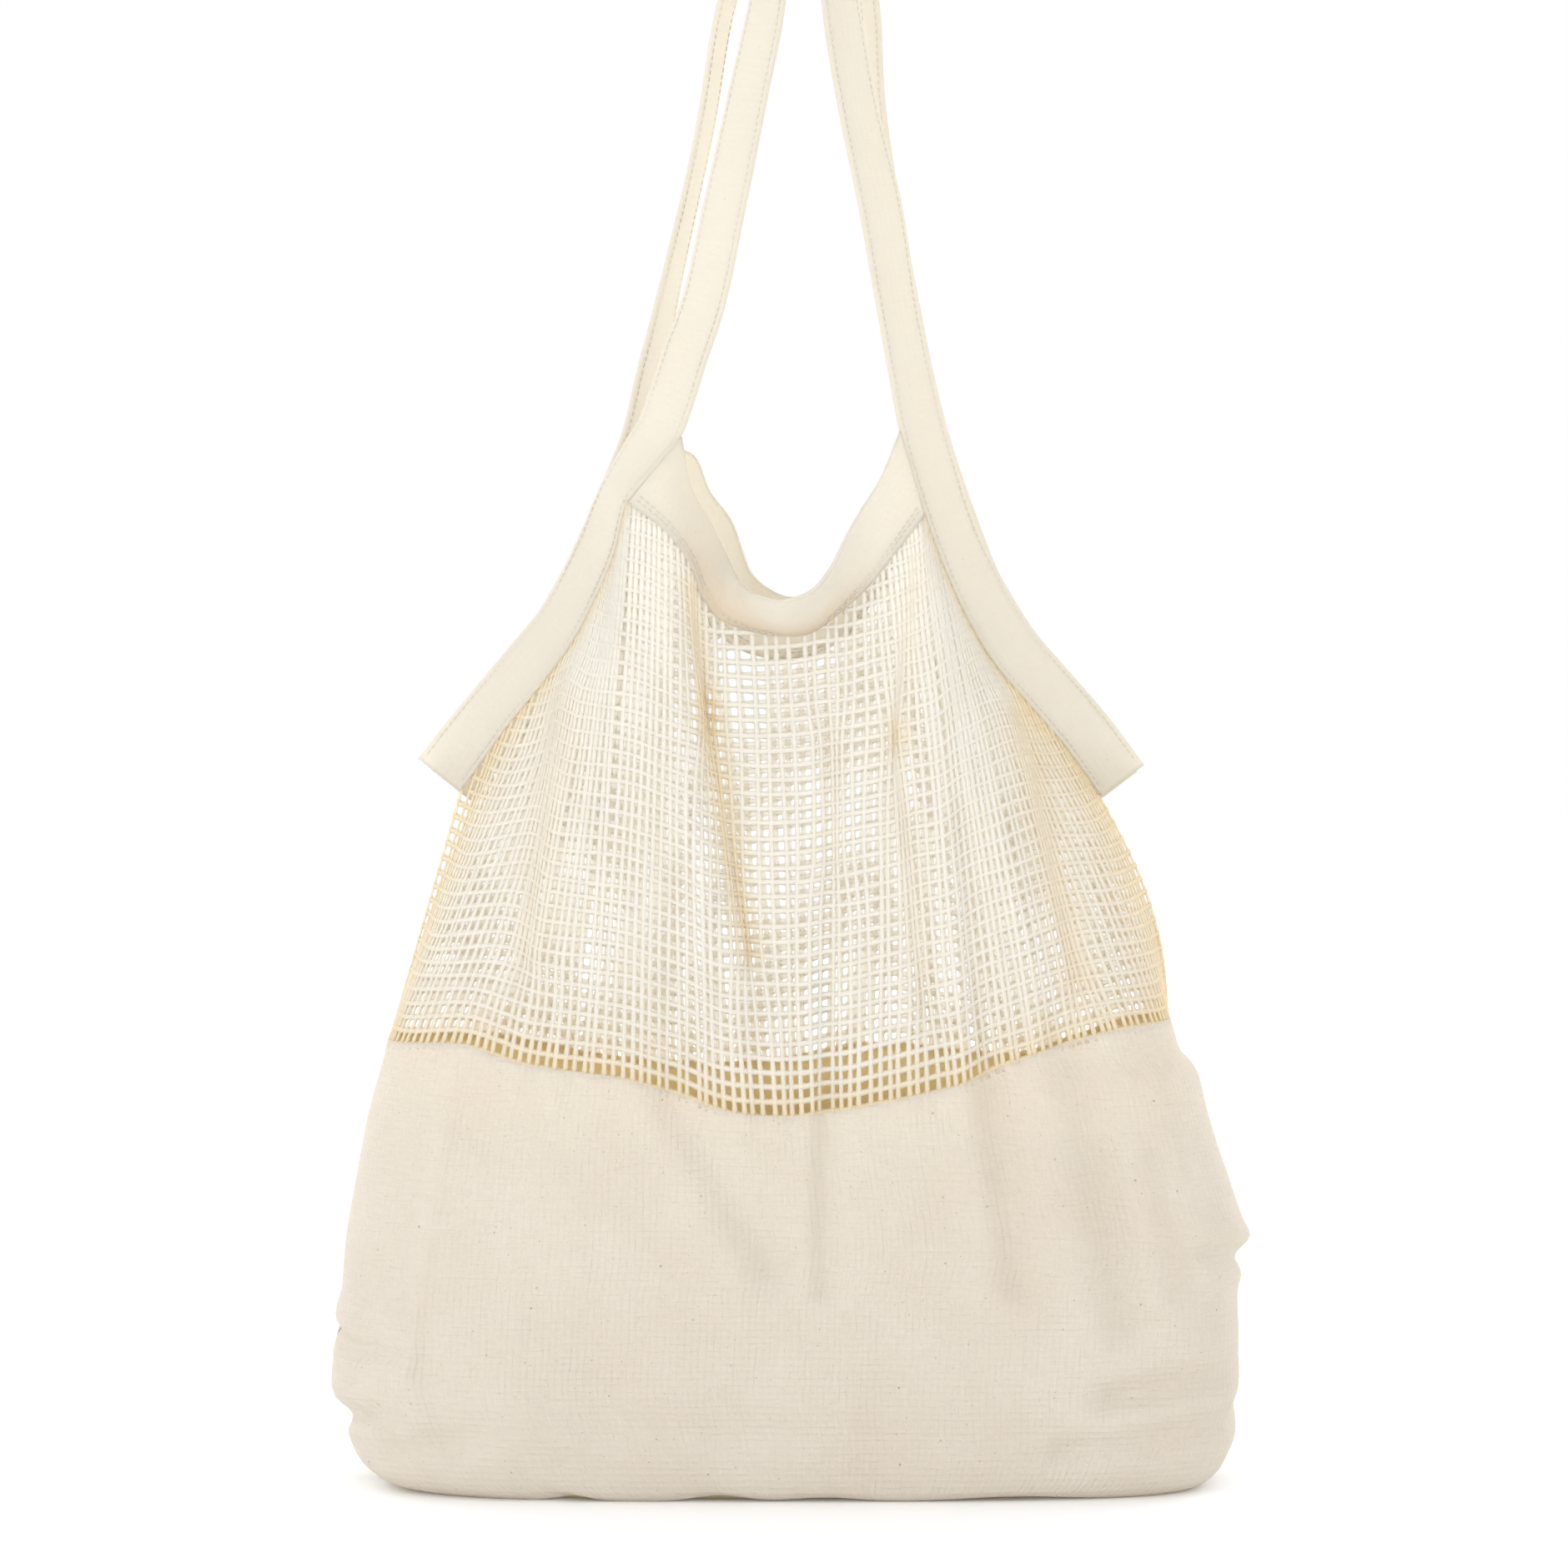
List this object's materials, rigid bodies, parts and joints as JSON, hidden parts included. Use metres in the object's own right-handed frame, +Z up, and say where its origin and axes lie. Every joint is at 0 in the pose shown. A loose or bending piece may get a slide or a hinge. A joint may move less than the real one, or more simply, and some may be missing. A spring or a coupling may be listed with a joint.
{
  "type": "string shopping bag",
  "caption": "Hanging shopping bag: flat-bottomed canvas base, open net upper body, banded armholes, rolled neck rims and long flat shoulder straps that loop over the hang point.",
  "frame": {"origin": "the hang point, under the top of the strap loops and midway between the front and back straps", "axes": "+Z up along the hanging bag, -Y the front of the bag, +X to the right as seen from the front"},
  "size_m": [0.4097, 0.1299, 0.7474],
  "materials": {
    "canvas": "matt undyed calico with small flecks",
    "net": "matt undyed cotton thread",
    "band": "matt undyed cotton twill"
  },
  "bodies": {
    "root": {"canvas_base": "canvas", "net_front": "net", "net_back": "net", "rim_front": "band", "rim_back": "band", "strap_front": "band", "strap_back": "band"}
  },
  "joints": []
}
